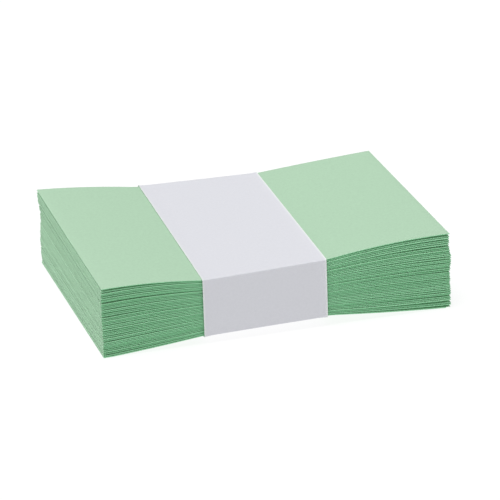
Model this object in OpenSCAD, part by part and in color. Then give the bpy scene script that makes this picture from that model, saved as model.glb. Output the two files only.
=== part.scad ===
// Banded pack of flat paper cash deposit bags.
//
// Forty empty bags lie flat on each other. A paper band squeezes the pack at its waist,
// so the ends of the bags fan open upward and downward. The pack stands on the ends of
// its lowest bag. X runs along the bags, Y across them, Z up, and the origin is under the
// middle of the bags, on the surface that the pack rests on.

/* [Bag] */
// Length of a closed bag, from the bottom fold to the mouth crease
bag_l = 162; // [140:1:180]
// Width of a bag, from side fold to side seam
bag_w = 114; // [100:1:130]
// Thickness of one flat bag: its panels, laps and the air between them
bag_t = 0.6; // [0.56:0.01:0.64]

/* [Pack] */
// Number of bags in the pack
bag_count = 40; // [36:1:40]
// Height of the pack where the band squeezes it
waist_h = 26.8; // [26.6:0.1:30]
// Height of the waist's underside over the surface that the pack rests on
waist_lift = 4.3; // [2:0.1:6]
// How far the top bag rises from the waist to its bottom fold
left_rise = 3.9; // [2:0.1:6]
// How far the top bag rises from the waist to its mouth
right_rise = 3.7; // [2:0.1:6]
// How early the top bag's ends level off, left then right, from 0 for a straight ramp
top_curl = [0.8, 0.7]; // [0:0.1:1.5]
// How early the lowest bag's ends level off, left then right
bottom_curl = [0.2, 0.3]; // [0:0.1:1.5]
// Length of the level stretch at each end of a bag
end_level = 3; // [2:0.5:5]

/* [Band] */
// Width of the paper band, along the pack
band_w = 57.5; // [40:1:64]
// How far the band's middle lies from the pack's middle
band_x = -5; // [-10:0.1:10]
// Thickness of the band's paper
band_t = 0.15; // [0.1:0.01:0.2]
// Overlap of the band's glued ends, under the pack
band_lap = 24; // [12:1:40]

/* [Closing flap] */
// Depth of the closing flap, from the mouth crease to its free edge
flap_d = 35; // [25:1:45]
// Width of the closing flap at the crease
flap_w = 104; // [90:1:106]
// How much narrower the flap is at its free edge, on each side
flap_taper = 9; // [4:1:14]
// Thickness of the flap's paper
flap_t = 0.17; // [0.12:0.01:0.2]

/* [Hidden] */
// Room between the flap and the lowest bag, and under the flap
flap_gap = 0.03;
// Room between the band and the bags, on the flat faces and along the long sides
band_gap = 0.08;
band_side_gap = 0.4;
// Film of glue between the band's overlapping ends
glue_t = 0.02;
// Steps along each end of a bag's bent outline
ramp_steps = 12;

half_l = bag_l / 2;
band_left = band_x - band_w / 2;
band_right = band_x + band_w / 2;
left_ramp = band_left + half_l - end_level;
right_ramp = half_l - band_right - end_level;

// The pocket that the closed flap lies in, measured up from the bag's underside
flap_pocket = flap_t + 2 * flap_gap;
flap_pocket_w = flap_w + 2;
flap_start = half_l - flap_d;

paper_green = [0.71, 0.84, 0.73];
flap_green = [0.66, 0.80, 0.68];
band_white = [0.89, 0.89, 0.91];

function bag_name(i) = str("bag_", i < 10 ? "0" : "", i);

// A ramp that rises from 0 to 1 and levels off earlier with more curl
function ramp(u, curl) = (1 + curl) * u - curl * u * u;

// How far along the left or the right ramp a place on the pack is, from 0 to 1
function left_share(x) = min(1, max(0, band_left - x) / left_ramp);
function right_share(x) = min(1, max(0, x - band_right) / right_ramp);

// Underside of the lowest bag and upper side of the top bag
function pack_bottom(x) = waist_lift
    * (1 - ramp(left_share(x), bottom_curl[0]) - ramp(right_share(x), bottom_curl[1]));
function pack_top(x) = waist_lift + waist_h
    + left_rise * ramp(left_share(x), top_curl[0])
    + right_rise * ramp(right_share(x), top_curl[1]);

// Underside of bag i, counted from the top: the bags share out the height between the two
function bag_bottom(i, x) = pack_bottom(x)
    + (bag_count - i) / (bag_count - 1) * (pack_top(x) - bag_t - pack_bottom(x));

// Places along a bag where its outline bends
stations = concat(
    [-half_l],
    [for (n = [0:ramp_steps]) band_left - left_ramp * (1 - n / ramp_steps)],
    [for (n = [0:ramp_steps]) band_right + right_ramp * n / ramp_steps],
    [half_l]
);

// The same places over the closing flap, and on past the end of the bag for its pocket
flap_stations = concat([flap_start], [for (x = stations) if (x > flap_start) x]);
pocket_stations = concat(flap_stations, [half_l + 1]);

// Outline of a layer of bag i, seen from the side, between two heights over its underside
function layer(i, places, low, high) = concat(
    [for (x = places) [x, bag_bottom(i, x) + low]],
    [for (n = [len(places) - 1:-1:0]) [places[n], bag_bottom(i, places[n]) + high]]
);

// Carries an outline drawn in X and Z across the pack's width
module across(width) {
    translate([0, width / 2, 0])
        rotate([90, 0, 0])
            linear_extrude(height = width)
                children();
}

// One flat bag, with its own closing flap folded under it
module bag(i) {
    color(paper_green)
        across(bag_w)
            polygon(layer(i, stations, 0, bag_t));
}

// The lowest bag, whose flap is a piece of its own in a pocket under the mouth end.
// The two corners beside the flap keep the full thickness, and the bag stands on them.
module lowest_bag() {
    color(paper_green)
        difference() {
            across(bag_w)
                polygon(layer(bag_count, stations, 0, bag_t));
            across(flap_pocket_w)
                polygon(layer(bag_count, pocket_stations, -1, flap_pocket));
        }
}

// Closing flap of the lowest bag, folded under its mouth end
module closing_flap() {
    color(flap_green)
        intersection() {
            across(flap_w)
                polygon(layer(bag_count, flap_stations, flap_gap, flap_gap + flap_t));
            linear_extrude(height = waist_lift)
                polygon([
                    [half_l - flap_gap, flap_w / 2],
                    [flap_start + 1, flap_w / 2 - flap_taper],
                    [flap_start + 1, -flap_w / 2 + flap_taper],
                    [half_l - flap_gap, -flap_w / 2]
                ]);
        }
}

// Paper band: one strip wound once round the waist, with its ends lapped under the pack
module paper_band() {
    side = bag_w / 2 + band_side_gap;
    low = waist_lift - band_gap;
    high = waist_lift + waist_h + band_gap;
    under = low - band_t - glue_t;
    color(band_white)
        translate([band_left, 0, 0])
            rotate([90, 0, 90])
                linear_extrude(height = band_w)
                    polygon([
                        [band_lap / 2, low],
                        [-side, low],
                        [-side, high],
                        [side, high],
                        [side, under],
                        [-band_lap / 2, under],
                        [-band_lap / 2, under - band_t],
                        [side + band_t, under - band_t],
                        [side + band_t, high + band_t],
                        [-side - band_t, high + band_t],
                        [-side - band_t, low - band_t],
                        [band_lap / 2, low - band_t]
                    ]);
}

for (i = [1:bag_count - 1]) bag(i);
lowest_bag();
closing_flap();
paper_band();
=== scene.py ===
import math
import random

import bmesh
import bpy
import numpy as np
from mathutils import Matrix, Vector


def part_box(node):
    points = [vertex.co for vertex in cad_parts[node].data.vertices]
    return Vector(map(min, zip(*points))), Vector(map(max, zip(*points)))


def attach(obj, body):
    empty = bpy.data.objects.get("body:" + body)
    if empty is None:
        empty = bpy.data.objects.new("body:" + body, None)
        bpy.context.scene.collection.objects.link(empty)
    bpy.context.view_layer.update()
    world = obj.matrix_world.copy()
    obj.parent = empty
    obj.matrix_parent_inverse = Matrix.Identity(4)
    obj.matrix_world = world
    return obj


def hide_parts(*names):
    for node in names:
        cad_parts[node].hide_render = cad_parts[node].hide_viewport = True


# The looks of a banded pack of flat paper cash bags, round its CAD frame.
# Lengths are in millimetres until a mesh is made. Bag 0 is the top bag.

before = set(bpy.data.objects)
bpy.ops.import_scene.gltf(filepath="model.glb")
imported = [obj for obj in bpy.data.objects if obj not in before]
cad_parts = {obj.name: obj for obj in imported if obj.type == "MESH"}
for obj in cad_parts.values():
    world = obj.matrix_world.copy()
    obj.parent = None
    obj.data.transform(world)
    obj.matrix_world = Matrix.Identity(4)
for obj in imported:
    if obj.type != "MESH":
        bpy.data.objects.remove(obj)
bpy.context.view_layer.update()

MM = 0.001
random_source = random.Random(40)

# ---------------------------------------------------------------- sizes from the frame

BAGS = sorted(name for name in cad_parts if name.startswith("bag_"))
COUNT = len(BAGS)
LOWEST = BAGS[-1]


def box_mm(node):
    low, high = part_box(node)
    return low / MM, high / MM


bag_high = box_mm(BAGS[0])[1]
band_low, band_high = box_mm("paper_band")
flap_low, flap_high = box_mm("closing_flap")
HALF_L = bag_high.x
HALF_W = bag_high.y
BAND_LEFT, BAND_RIGHT = band_low.x, band_high.x
FLAP_D = HALF_L - flap_low.x
FLAP_HALF_W = flap_high.y

# ---------------------------------------------------------------- sizes of the paper

SHEET_T = 0.09      # one sheet of bag paper
BODY_T = 0.53       # two panels and the air that their springy folds hold between them
BAG_T = BODY_T + SHEET_T
STEP = 0.02         # run of a cut edge, so that it isn't quite upright
BOTTOM_LAP = 20     # depth of the bottom lap, glued under the fold end
BOTTOM_LAP_INSET = (1, 7)   # how far its corners stand in, at the fold and at its edge
FLAP_TAPER = 9      # how much narrower the closing flap is at its edge, on each side
SIDE_LAP = 15       # width of the side seam's lap, along the far side
MOUTH = HALF_L - 2  # where the lowest bag's lower panel stops short of the crease

# ---------------------------------------------------------------- how the pack lies

TWIST = (-1.65, -0.5, 0.93, 1.15)   # rise of the near side: fold end, band's edges, mouth end
WAIST_TWIST = 0.48  # the same of the waist's underside, at the band's edges
WAIST_SAG = 0.1     # hollow of the waist's top under the band, and of its underside
SWELL = (0.4, 2.0)  # how much fuller the top curves on the near side, fold end and mouth end
CORNER_LIFT = 0.6   # how far the top bag's far fold corner curls up
LEAN = 0.5          # how far the lowest bag stands out of the pack's near side
BAND_SKEW = 0.95    # how far the band's near end lies towards the fold end
SOFTEN = (-3, -2, -1, 0, 1, 2, 3)   # places over which a bend's kink is averaged out
TOP_FOLD_PAINTED_SHADE = (0, 2)         # painted shade, for the shade and green bounce light in the gaps: its strength where a side fold starts, and how fast it grows towards the crest: the top bag's upper side, the others' upper sides, and their lower sides
UPPER_FOLD_PAINTED_SHADE = (0.35, 1)    # deepens towards the crest: the top bag's upper side, the
LOWER_FOLD_PAINTED_SHADE = (0.9, 2)     # others' upper sides, and their lower sides
END_FOLD_PAINTED_SHADE = 0.25   # strength of the painted shade on the end folds, against the side folds
WAVE = 0.38         # share of the smaller gap beside a bag that its waves may use
TOP_TURN = 0.0075   # turn of the top bag, in radians; it swings and dies away down the pack
RANDOM_TURN = 0.0006
BULGE = 0.6         # how far the bags about a third of the way down stand out at the mouth end
BULGE_PLACE = 0.33  # their place in the pack, from 0 at the top, and how far it spreads
BULGE_SPREAD = 0.09
LOW_LENGTH = 0.35   # the same of the bags near the bottom
RANDOM_LENGTH = 0.12
RANDOM_ACROSS = 0.22
LOW_ALONG = 0.08    # random shift along the pack, at its bottom, and how much more at its top
TOP_ALONG = 0.2


def cad_outline(node, pick):
    """Places along X where a CAD bag bends, and its highest or lowest point at each."""
    points = np.array([v.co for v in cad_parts[node].data.vertices]) / MM
    places = np.unique(points[:, 0].round(2))
    heights = [pick(points[np.abs(points[:, 0] - x) < 0.01, 2]) for x in places]
    return places, np.array(heights)


TOP_OUTLINE = cad_outline(BAGS[0], max)
BOTTOM_OUTLINE = cad_outline(LOWEST, min)


def softened(x, outline):
    return np.mean([np.interp(x + d, *outline) for d in SOFTEN], axis=0)


def under_band(x):
    """From 0 at the band's edges to 1 at its middle, and 0 outside it."""
    middle, half = (BAND_LEFT + BAND_RIGHT) / 2, (BAND_RIGHT - BAND_LEFT) / 2
    return np.clip(1 - ((x - middle) / half) ** 2, 0, 1)


def pack_top(x):
    return softened(x, TOP_OUTLINE) - WAIST_SAG * under_band(x)


def pack_bottom(x):
    return softened(x, BOTTOM_OUTLINE) + WAIST_SAG * under_band(x)


def along_wings(x):
    """How far along the fold end's and the mouth end's wing a place is, from 0 to 1."""
    left = np.clip((BAND_LEFT - x) / (BAND_LEFT + HALF_L), 0, 1)
    right = np.clip((x - BAND_RIGHT) / (HALF_L - BAND_RIGHT), 0, 1)
    return left, right


def twisted(x, y, z):
    """The pack isn't quite true: opposite corners stand higher, and its near side is fuller."""
    height = (z - pack_bottom(x)) / (pack_top(x) - pack_bottom(x))
    near = -y / HALF_W
    left, right = along_wings(x)
    swell = SWELL[0] * left * (1 - left) + SWELL[1] * right * (1 - right)
    waist = np.clip((x - BAND_LEFT) / (BAND_RIGHT - BAND_LEFT), 0, 1) * 2 - 1
    upper = np.interp(x, (-HALF_L, BAND_LEFT, BAND_RIGHT, HALF_L), TWIST) + swell
    lower = WAIST_TWIST * waist * (1 - left - right)
    curl = height * CORNER_LIFT * left ** 2 * np.clip(-near, 0, 1)
    return z + near * (height * upper + (1 - height) * lower) + curl


def gap_weights(loose):
    """How the gaps under the bags share out the air at one end, with the given ones set."""
    least, spread = 0.3, 1.4
    weights = np.array([least + spread * random_source.random() ** 2 for _ in range(COUNT - 1)])
    for bag, weight in loose.items():
        weights[bag] = weight
    return weights


# Gaps with a width of their own, by the bag above them, at the fold end and at the mouth end
FOLD_GAPS = gap_weights({0: 3.6, 3: 1.6, 7: 2.4, 13: 2.2, 15: 1.9, 22: 1.5, 29: 2.2, 37: 1.8})
MOUTH_GAPS = gap_weights({0: 3.0, 2: 2.0, 5: 3.2, 12: 1.9, 19: 1.9, 23: 1.6, 33: 2.2, 36: 3.6,
                          37: 0.5, 38: 3.2})


def gaps(x):
    """Height of the gap under each bag but the lowest, one row per bag."""
    left, right = along_wings(x)
    weights = (1 - left - right) + np.outer(FOLD_GAPS, left) + np.outer(MOUTH_GAPS, right)
    air = pack_top(x) - pack_bottom(x) - COUNT * BAG_T
    return weights / weights.sum(axis=0) * air


WAVES = [[random_source.uniform(0, 2 * math.pi) for _ in range(4)]
         + [random_source.uniform(0.05, 0.16), random_source.uniform(0.02, 0.06)]
         for _ in range(COUNT)]


def wave(bag, x, y):
    """A smooth unevenness of one bag, from -1 to 1."""
    a, b, c, d, along, across = WAVES[bag]
    return (0.4 * np.sin(along * x + a) + 0.25 * np.sin(2.3 * along * x + b)
            + 0.2 * np.sin(across * y + c) + 0.15 * np.sin(0.7 * along * x + across * y + d))


def bag_top(bag, x, y):
    """Height of the upper side of a bag over the place x, y of the pack."""
    shape = np.shape(x)
    x, y = np.ravel(x), np.ravel(y)
    air = gaps(x)
    z = pack_bottom(x) + (COUNT - bag) * BAG_T + air[bag:].sum(axis=0)
    if 0 < bag < COUNT - 1:
        z = z + WAVE * np.minimum(air[bag - 1], air[bag]) * wave(bag, x, y)
    return np.reshape(z, shape)


# ---------------------------------------------------------------- meshes


def new_piece(name, points, faces, edges, smooth_below=50):
    """An object from points in millimetres, shaded smooth except across sharp edges."""
    mesh = bpy.data.meshes.new(name)
    mesh.from_pydata([Vector(p) * MM for p in points], [], faces)
    # edge: how strongly painted shade or a painted highlight lies on each point
    mesh.attributes.new("edge", "FLOAT", "POINT").data.foreach_set("value", edges)
    work = bmesh.new()
    work.from_mesh(mesh)
    bmesh.ops.remove_doubles(work, verts=work.verts, dist=1e-7)
    bmesh.ops.recalc_face_normals(work, faces=work.faces)
    for face in work.faces:
        face.smooth = True
    for edge in work.edges:
        edge.smooth = edge.calc_face_angle(0) < math.radians(smooth_below)
    work.to_mesh(mesh)
    work.free()
    piece = bpy.data.objects.new(name, mesh)
    bpy.context.scene.collection.objects.link(piece)
    return piece


def closed_sheet(name, upper, lower, upper_painted_light, lower_painted_light):
    """A solid between two grids of points of the same size, joined along their edges.
    The attribute edge says how strongly painted shade or a painted highlight lies on a point, at
    folds and cut edges."""
    rows, columns = upper.shape[:2]
    count = rows * columns
    points = np.concatenate([upper.reshape(-1, 3), lower.reshape(-1, 3)])
    faces = []
    for r in range(rows - 1):
        for c in range(columns - 1):
            k = r * columns + c
            quad = (k, k + 1, k + columns + 1, k + columns)
            faces.append(quad)
            faces.append(tuple(count + n for n in reversed(quad)))
    edge = list(range(columns))
    edge += [r * columns + columns - 1 for r in range(1, rows)]
    edge += [(rows - 1) * columns + c for c in range(columns - 2, -1, -1)]
    edge += [r * columns for r in range(rows - 2, 0, -1)]
    for k, after in zip(edge, edge[1:] + edge[:1]):
        ends = (k, after)
        if all(np.allclose(points[n], points[count + n]) for n in ends):
            continue
        faces.append((k, count + k, count + after, after))
    return new_piece(name, points, faces, np.concatenate([upper_painted_light.ravel(), lower_painted_light.ravel()]))


def fold_places(end, radius):
    """Places across a rounded fold, from its flat side out to its end."""
    angles = (90, 60, 35, 15, 0)
    return [end - math.copysign(radius, end) * (1 - math.cos(math.radians(a))) for a in angles]


def rows_of(lowest):
    """Places along a bag, and whether the bottom lap or the closing flap lies under each."""
    lap_edge = BOTTOM_LAP - HALF_L
    flap_edge = HALF_L - FLAP_D
    left = fold_places(-HALF_L, BAG_T / 2)[::-1]
    right = fold_places(HALF_L, BAG_T / 2)
    rows = [(x, True) for x in left + [-76, -71, -66]]
    rows += [(lap_edge, True), (lap_edge + STEP, False)]
    rows += [(x, False) for x in (-56, -51, -46, -42, -39, -36, -33, -30, -24, -14, -4, 6, 16, 21)]
    rows += [(x, False) for x in (24, 27, 30, 34, 39)]
    if lowest:
        return rows + [(x, False) for x in [46, 54, 62, 70, MOUTH - STEP, MOUTH] + right]
    rows += [(flap_edge - STEP, False), (flap_edge, True)]
    return rows + [(x, True) for x in (50, 55, 60, 66, 72, 77)] + [(x, True) for x in right]


def lap_half_width(x):
    """Half the width of the lap or flap under a place along the bag."""
    from_fold = np.clip((x + HALF_L) / BOTTOM_LAP, 0, 1)
    from_crease = np.clip((HALF_L - x) / FLAP_D, 0, 1)
    near_fold, at_edge = BOTTOM_LAP_INSET
    lap = HALF_W - near_fold - (at_edge - near_fold) * from_fold
    flap = FLAP_HALF_W - FLAP_TAPER * from_crease
    return lap if x < 0 else flap


def grid_of_bag(lowest):
    """Flat grid of a bag: x, y and thickness at each point."""
    side_edge = HALF_W - SIDE_LAP
    near = fold_places(-HALF_W, BODY_T / 2)[::-1]
    far = fold_places(HALF_W, BAG_T / 2)
    grid = []
    for x, lapped in rows_of(lowest):
        half = lap_half_width(x)
        columns = [(y, False, False) for y in near]
        columns += [(-half - STEP, False, False), (-half, True, False)]
        columns += [(y, True, False) for y in (-36, -26, -16, -6, 6, 16, 26, 36)]
        columns += [(side_edge - STEP, True, False), (side_edge, True, True)]
        columns += [(half, True, True)]
        columns += [(y, False, True) for y in far]
        grid.append([(x, y, BAG_T if side or (lapped and inside) else BODY_T)
                     for y, inside, side in columns])
    grid = np.array(grid)
    if lowest:
        grid[grid[..., 0] >= MOUTH, 2] = SHEET_T
    return grid


def rounded(x, y, thickness):
    """How far a fold's rounding takes each side in, at a point near the bag's outline."""
    from_end = np.minimum(HALF_L - np.abs(x), HALF_W - np.abs(y))
    radius = thickness / 2
    inward = np.clip(1 - from_end / radius, 0, 1)
    return radius * (1 - np.sqrt(1 - inward ** 2))


def fold_painted_shade(x, y, inset, start, steepness):
    """Strength of the painted shade on a fold, which stands in for the shade in the gaps: from 0 on a
    panel to 1 at the crest of a side fold.
    """
    at_fold = np.minimum(HALF_L - np.abs(x), HALF_W - np.abs(y)) < BAG_T / 2 + STEP
    crest = np.where(at_fold, np.clip(start + inset * steepness, 0, 1), 0)
    at_end = HALF_L - np.abs(x) < HALF_W - np.abs(y)
    return np.where(at_end, END_FOLD_PAINTED_SHADE, 1) * crest


def laid(bag, x, y):
    """Where a point of a bag's flat outline lies in the pack, seen from above."""
    shift_x, shift_y, yaw, stretch = PLACES[bag]
    moved_x = x + shift_x - yaw * (y + HALF_W) + stretch * (x + HALF_L) / (2 * HALF_L)
    moved_y = y + shift_y + yaw * x
    return moved_x, moved_y


def place_of(bag):
    """Shift along and across, turn in radians about the near side, and extra length."""
    height = bag / (COUNT - 1)
    turn = TOP_TURN * math.cos(2.7 * math.pi * height) * math.exp(-1.5 * height)
    turn += random_source.uniform(-RANDOM_TURN, RANDOM_TURN)
    bulge = BULGE * math.exp(-((height - BULGE_PLACE) / BULGE_SPREAD) ** 2)
    length = random_source.uniform(-RANDOM_LENGTH, RANDOM_LENGTH) + bulge + LOW_LENGTH * height ** 2
    across = random_source.uniform(-RANDOM_ACROSS, RANDOM_ACROSS) - LEAN * height
    along = random_source.uniform(-1, 1) * (LOW_ALONG + TOP_ALONG * (1 - height))
    if bag == COUNT - 1:
        along, turn, length = 0, 0, 0       # its crease is the flap's
    return along, across, turn, length


PLACES = [place_of(bag) for bag in range(COUNT)]


def bag_piece(bag):
    lowest = bag == COUNT - 1
    grid = grid_of_bag(lowest)
    flat_x, flat_y, thickness = grid[..., 0], grid[..., 1], grid[..., 2]
    inset = rounded(flat_x, flat_y, thickness)
    x, y = laid(bag, flat_x, flat_y)
    top = bag_top(bag, x, y)
    upper = np.stack([x, y, twisted(x, y, top - inset)], axis=-1)
    lower = np.stack([x, y, twisted(x, y, top - thickness + inset)], axis=-1)
    # painted shade on the folds, for each bag's upper and lower side
    depths = (TOP_FOLD_PAINTED_SHADE if bag == 0 else UPPER_FOLD_PAINTED_SHADE, LOWER_FOLD_PAINTED_SHADE)
    edges = [fold_painted_shade(flat_x, flat_y, inset / thickness, *depth) for depth in depths]
    piece = closed_sheet(BAGS[bag] + "_paper", upper, lower, *edges)
    piece.data.materials.append(bag_paper)
    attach(piece, BAGS[bag])
    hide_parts(BAGS[bag])


# ---------------------------------------------------------------- closing flap and band

BAND_T = 0.15           # the band's paper
BAND_FOLD = 0.45        # outer radius of the band's folds
BAND_STATIONS = 9
BAND_FLARE = 0.38       # how far its cut edges stand off
BAND_FLARE_W = 4        # over how much of its width
BAND_LAP = 24           # overlap of its glued ends, and the film of glue between them
BAND_GLUE = 0.02
CREASE_R = BAG_T / 2
FLAP_T = 0.8 * SHEET_T
FLAP_SPRING = 0.5       # rise of the closing flap's free edge from the crease


def thick_strip(name, path, thickness, stations, place, flare=lambda s: 0):
    """A sheet that follows a path in a plane, carried along stations across it."""
    path = np.array(path)
    along = np.gradient(path, axis=0)
    along /= np.linalg.norm(along, axis=1)[:, None]
    normal = np.stack([-along[:, 1], along[:, 0]], axis=1)
    sides = []
    for side in (0.5, -0.5):
        edges = [path + (side * thickness + flare(s)) * normal for s in stations]
        sides.append(np.array([[place(s, *p) for p in edge] for s, edge in zip(stations, edges)]))
    # cut edges get the material's painted light: painted shade on the flap, a painted highlight on
    # the band
    cut = np.zeros(sides[0].shape[:2])
    cut[[0, -1], :] = 1
    cut[:, [0, -1]] = 1
    return closed_sheet(name, *sides, cut, cut)


def arc(centre, radius, start, end, steps=5):
    angles = [math.radians(start + (end - start) * n / steps) for n in range(steps + 1)]
    return [(centre[0] + radius * math.cos(a), centre[1] + radius * math.sin(a)) for a in angles]


def band_side():
    """How far out the band's middle line runs, over the bags that stand out furthest."""
    out = 0
    for bag in range(COUNT):
        lean = -LEAN * bag / (COUNT - 1)
        for x in (BAND_LEFT, BAND_RIGHT):
            for y in (-HALF_W, HALF_W):
                out = max(out, abs(laid(bag, x, y)[1] - lean))
    return out + BAND_T


def band_path():
    """The band's middle line round the waist, from its inner end to its outer end."""
    side = band_side()
    low = band_low.z + 1.5 * BAND_T + BAND_GLUE
    under = band_low.z + BAND_T / 2
    high = band_high.z - BAND_T / 2
    r = BAND_FOLD - BAND_T / 2

    def flat(start, end, z, count):
        return [(start + (end - start) * n / count, z) for n in range(count + 1)]

    path = flat(BAND_LAP / 2, -side + 2 * r, low, 8)
    path += arc((-side + r, low + r), r, 270, 180)
    path += [(-side, low + (high - low) * n / 8) for n in range(1, 8)]
    path += arc((-side + r, high - r), r, 180, 90)
    path += flat(-side + 2 * r, side - 2 * r, high, 14)
    path += arc((side - r, high - r), r, 90, 0)
    path += [(side, high + (under - high) * n / 8) for n in range(1, 8)]
    path += arc((side - r, under + r), r, 0, -90)
    return path + flat(side - 2 * r, -BAND_LAP / 2, under, 8)


def band_flare(x):
    """How far the band's paper stands off towards its two cut edges."""
    from_edge = min(x - BAND_LEFT, BAND_RIGHT - x)
    return BAND_FLARE * max(0, 1 - from_edge / BAND_FLARE_W) ** 2


def band_piece():
    """The band, wound round the waist a little askew and following its warp."""

    def place(x, y, z):
        share = (z - band_low.z) / (band_high.z - band_low.z)
        z += under_band(x) * WAIST_SAG * (1 - 2 * share)
        return x + BAND_SKEW * y / HALF_W, y - LEAN * (1 - share), float(twisted(x, y, z))

    middle = np.linspace(BAND_LEFT + BAND_FLARE_W, BAND_RIGHT - BAND_FLARE_W, BAND_STATIONS)
    edge = [BAND_FLARE_W * n / 4 for n in range(4)]
    stations = [BAND_LEFT + d for d in edge] + list(middle) + [BAND_RIGHT - d for d in reversed(edge)]
    piece = thick_strip("paper_band_strip", band_path(), BAND_T, stations, place, band_flare)
    piece.data.materials.append(band_paper)
    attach(piece, "band")
    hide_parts("paper_band")


def flap_piece():
    """The lowest bag's closing flap: round the crease and back under the bag."""
    crease = HALF_L
    path = arc((crease, CREASE_R), CREASE_R - SHEET_T / 2, 80, -90, 8)
    depths = [(FLAP_D - STEP) * n / 12 for n in range(1, 13)] + [FLAP_D]
    path += [(crease - d, SHEET_T / 2 + FLAP_SPRING * d / FLAP_D) for d in depths]

    def place(share, x, z):
        taper = FLAP_TAPER * min(max((crease - x) / FLAP_D, 0), 1)
        return x, share * (FLAP_HALF_W - taper), z

    rim = 1 - STEP / FLAP_HALF_W
    stations = [-1, *np.linspace(-rim, rim, 13), 1]
    piece = thick_strip("closing_flap_paper", path, FLAP_T, stations, place)
    piece.data.materials.append(flap_paper)
    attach(piece, "closing_flap")
    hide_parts("closing_flap")


# ---------------------------------------------------------------- materials

GREEN = (0.44, 0.64, 0.463)
# painted shade: a deeper, greener tone for the shade and green bounce light in the gaps, on the bags'
# folds and the flap's cut edges
GREEN_PAINTED_SHADE = (0.258, 0.65, 0.355)
WHITE = (0.712, 0.717, 0.762)
# painted highlight: a lighter tone on the band's cut edges, for the bright lines along them
WHITE_PAINTED_HIGHLIGHT = (0.82, 0.85, 0.84)


def paper(name, colour, painted_light_colour, contrast, roughness):
    """Uncoated paper: cloudy fibre in its colour, painted shade or a painted highlight mixed in where
    the attribute edge says, and a fine felt.
    """
    material = bpy.data.materials.new(name)
    material.use_nodes = True
    nodes, links = material.node_tree.nodes, material.node_tree.links
    shader = nodes["Principled BSDF"]
    shader.inputs["Roughness"].default_value = roughness
    shader.inputs["Specular IOR Level"].default_value = 0.25
    place = nodes.new("ShaderNodeTexCoord")
    cloud = nodes.new("ShaderNodeTexNoise")
    cloud.inputs["Scale"].default_value = 900
    cloud.inputs["Detail"].default_value = 4
    ramp = nodes.new("ShaderNodeValToRGB")
    ramp.color_ramp.elements[0].position = 0.3
    ramp.color_ramp.elements[1].position = 0.7
    ramp.color_ramp.elements[0].color = (*[c * (1 - contrast) for c in colour], 1)
    ramp.color_ramp.elements[1].color = (*[c * (1 + contrast) for c in colour], 1)
    # the attribute edge mixes in the painted shade or painted highlight colour
    edge = nodes.new("ShaderNodeAttribute")
    edge.attribute_name = "edge"
    painted_light_mix = nodes.new("ShaderNodeMix")
    painted_light_mix.data_type = "RGBA"
    painted_light_mix.inputs["B"].default_value = (*painted_light_colour, 1)
    felt = nodes.new("ShaderNodeTexNoise")
    felt.inputs["Scale"].default_value = 2500
    felt.inputs["Detail"].default_value = 3
    bump = nodes.new("ShaderNodeBump")
    bump.inputs["Strength"].default_value = 0.25
    bump.inputs["Distance"].default_value = 0.00004
    links.new(place.outputs["Object"], cloud.inputs["Vector"])
    links.new(place.outputs["Object"], felt.inputs["Vector"])
    links.new(cloud.outputs["Fac"], ramp.inputs["Fac"])
    links.new(edge.outputs["Fac"], painted_light_mix.inputs["Factor"])
    links.new(ramp.outputs["Color"], painted_light_mix.inputs["A"])
    links.new(painted_light_mix.outputs["Result"], shader.inputs["Base Color"])
    links.new(felt.outputs["Fac"], bump.inputs["Height"])
    links.new(bump.outputs["Normal"], shader.inputs["Normal"])
    return material


# bags and flap: painted shade on folds and cut edges; band: painted highlight on cut edges
bag_paper = paper("bag_paper", GREEN, GREEN_PAINTED_SHADE, 0.03, 0.85)
flap_paper = paper("flap_paper", GREEN, GREEN_PAINTED_SHADE, 0.03, 0.85)
band_paper = paper("band_paper", WHITE, WHITE_PAINTED_HIGHLIGHT, 0.015, 0.8)

for bag in range(COUNT):
    bag_piece(bag)
band_piece()
flap_piece()

# ---------------------------------------------------------------- stage, light and camera

FLOOR_GREY = 0.17       # how much of the light the floor reflects
FLOOR_GLOW = 0.86       # its own glow, which keeps it near white
HORIZON_GLOW = 1.03
SKY_GLOW = 0.34
KEY_STRENGTH = 0.73 * math.pi


def make_floor():
    mesh = bpy.data.meshes.new("floor")
    work = bmesh.new()
    bmesh.ops.create_circle(work, cap_ends=True, segments=96, radius=30)
    work.to_mesh(mesh)
    work.free()
    floor = bpy.data.objects.new("floor", mesh)
    floor.location.z = -0.00005
    bpy.context.scene.collection.objects.link(floor)
    material = bpy.data.materials.new("floor")
    material.use_nodes = True
    shader = material.node_tree.nodes["Principled BSDF"]
    shader.inputs["Base Color"].default_value = (FLOOR_GREY, FLOOR_GREY, FLOOR_GREY, 1)
    shader.inputs["Roughness"].default_value = 1
    shader.inputs["Specular IOR Level"].default_value = 0
    shader.inputs["Emission Color"].default_value = (1, 1, 1, 1)
    shader.inputs["Emission Strength"].default_value = FLOOR_GLOW
    mesh.materials.append(material)


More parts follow.
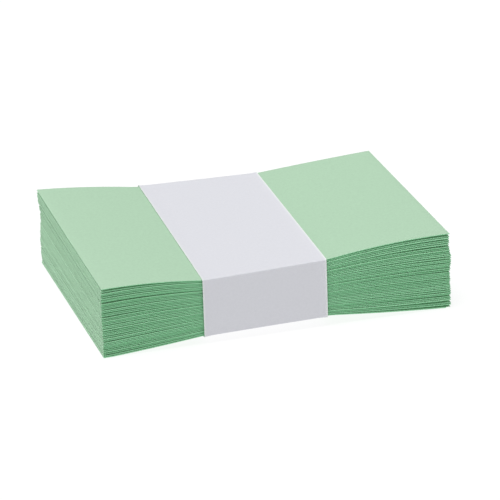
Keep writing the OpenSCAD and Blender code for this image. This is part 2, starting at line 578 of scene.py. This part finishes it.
def make_sky():
    """A soft dome that turns white at the horizon, where it meets the floor."""
    world = bpy.data.worlds.new("sky")
    world.use_nodes = True
    nodes, links = world.node_tree.nodes, world.node_tree.links
    place = nodes.new("ShaderNodeTexCoord")
    split = nodes.new("ShaderNodeSeparateXYZ")
    ramp = nodes.new("ShaderNodeValToRGB")
    ramp.color_ramp.elements[0].position = 0.09
    ramp.color_ramp.elements[0].color = (HORIZON_GLOW, HORIZON_GLOW, HORIZON_GLOW, 1)
    ramp.color_ramp.elements[1].position = 0.17
    ramp.color_ramp.elements[1].color = (SKY_GLOW, SKY_GLOW, SKY_GLOW, 1)
    links.new(place.outputs["Generated"], split.inputs["Vector"])
    links.new(split.outputs["Z"], ramp.inputs["Fac"])
    links.new(ramp.outputs["Color"], nodes["Background"].inputs["Color"])
    bpy.context.scene.world = world


def make_key():
    """A wide soft light, high on the left."""
    light = bpy.data.lights.new("key", "SUN")
    light.energy = KEY_STRENGTH
    light.angle = math.radians(40)
    key = bpy.data.objects.new("key", light)
    key.rotation_mode = "QUATERNION"
    key.rotation_quaternion = Vector((-0.15, -0.02, 0.7)).to_track_quat("Z", "Y")
    bpy.context.scene.collection.objects.link(key)


def make_camera(azimuth, elevation, roll, distance, lens, shift):
    target = Vector((0, 0, 0.018))
    a, e, t = math.radians(azimuth), math.radians(elevation), math.radians(roll)
    back = Vector((math.sin(a) * math.cos(e), -math.cos(a) * math.cos(e), math.sin(e)))
    data = bpy.data.cameras.new("camera")
    data.lens = lens
    data.shift_x, data.shift_y = shift
    data.clip_start, data.clip_end = 0.1, 100
    camera = bpy.data.objects.new("camera", data)
    camera.location = target + back * distance
    right = Vector((math.cos(a), math.sin(a), 0))
    up = back.cross(right)
    turned = (math.cos(t) * right + math.sin(t) * up, math.cos(t) * up - math.sin(t) * right, back)
    camera.rotation_mode = "QUATERNION"
    camera.rotation_quaternion = Matrix(turned).transposed().to_quaternion()
    bpy.context.scene.collection.objects.link(camera)
    bpy.context.scene.camera = camera


make_floor()
make_sky()
make_key()
make_camera(-15.78, 22.98, -1.75, 1.8826, 296.2, (0.01714, -0.0029))
bpy.context.scene.view_settings.view_transform = "Standard"
